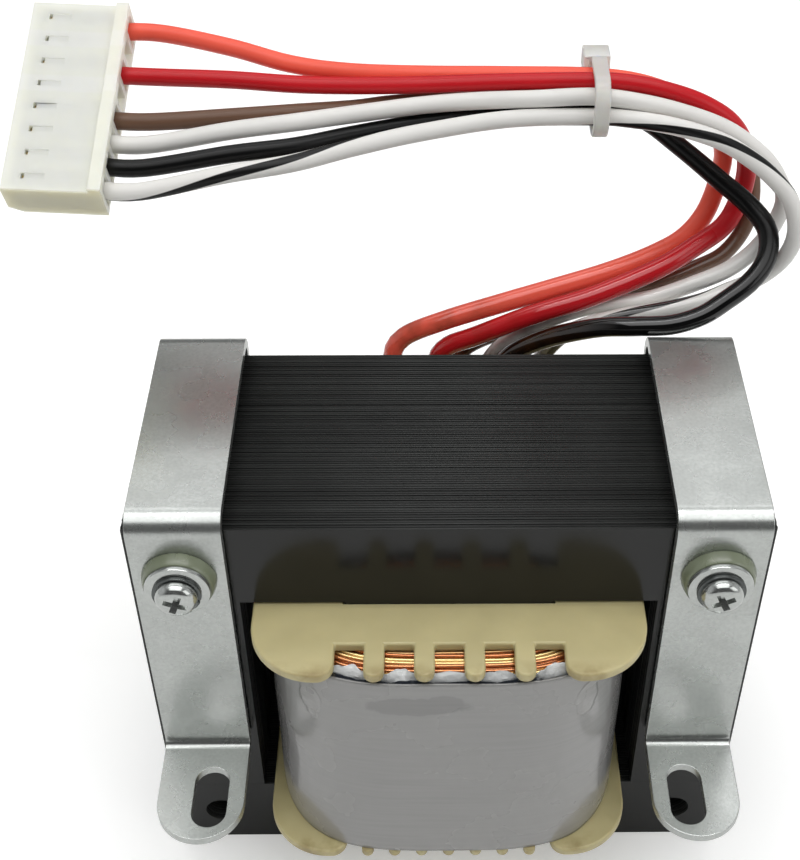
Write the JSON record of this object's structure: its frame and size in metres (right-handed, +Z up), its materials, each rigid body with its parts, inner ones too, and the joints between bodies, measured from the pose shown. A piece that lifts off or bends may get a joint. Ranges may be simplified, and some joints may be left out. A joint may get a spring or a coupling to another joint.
{
  "type": "line transformer",
  "caption": "Laminated mains transformer on an E and I core, with a wound bobbin, foot straps screwed through the core, and a tied lead harness that ends in a nylon connector.",
  "frame": {"origin": "middle of the core's bottom face, on which the transformer stands", "axes": "+X along the core's 96 mm width, +Y through the stack of sheets to the side where the leads leave, +Z up, along the axis of the mounting slots"},
  "size_m": [0.126, 0.0939, 0.1278],
  "materials": {
    "core_varnish": "glossy black varnish over silicon steel sheet",
    "bobbin_nylon": "natural glass-filled nylon, satin",
    "enamelled_copper": null,
    "barrier_film": "insulation film between the windings",
    "white_film": "white film, crumpled at its edge",
    "grey_tape": "thin polyester tape, wavy gloss",
    "zinc_steel": "bright zinc plated steel",
    "bush_plastic": "translucent greenish plastic",
    "orange_pvc": "orange-red PVC insulation",
    "red_pvc": "red PVC insulation",
    "brown_pvc": "brown PVC insulation",
    "white_pvc": "white PVC insulation",
    "black_pvc": "black PVC insulation",
    "striped_pvc": "white PVC insulation with a black spiral stripe",
    "natural_nylon": "translucent natural nylon",
    "tinned_brass": "tinned brass terminals"
  },
  "bodies": {
    "root": {"e_laminations": "core_varnish", "i_laminations": "core_varnish", "bobbin": "bobbin_nylon", "primary_winding": "enamelled_copper", "winding_barrier": "barrier_film", "secondary_winding": "enamelled_copper", "paper_wrap": "white_film", "outer_tape": "grey_tape", "left_strap": "zinc_steel", "right_strap": "zinc_steel", "left_screw": "zinc_steel", "right_screw": "zinc_steel", "left_nut": "zinc_steel", "right_nut": "zinc_steel", "left_front_bush": "bush_plastic", "right_front_bush": "bush_plastic", "left_rear_bush": "bush_plastic", "right_rear_bush": "bush_plastic", "left_front_washer": "zinc_steel", "right_front_washer": "zinc_steel", "left_rear_washer": "zinc_steel", "right_rear_washer": "zinc_steel", "orange_lead": "orange_pvc", "red_lead": "red_pvc", "brown_lead": "brown_pvc", "white_lead": "white_pvc", "black_lead": "black_pvc", "striped_lead": "striped_pvc", "cable_tie": "natural_nylon", "connector_housing": "natural_nylon", "crimp_terminals": "tinned_brass"}
  },
  "joints": []
}
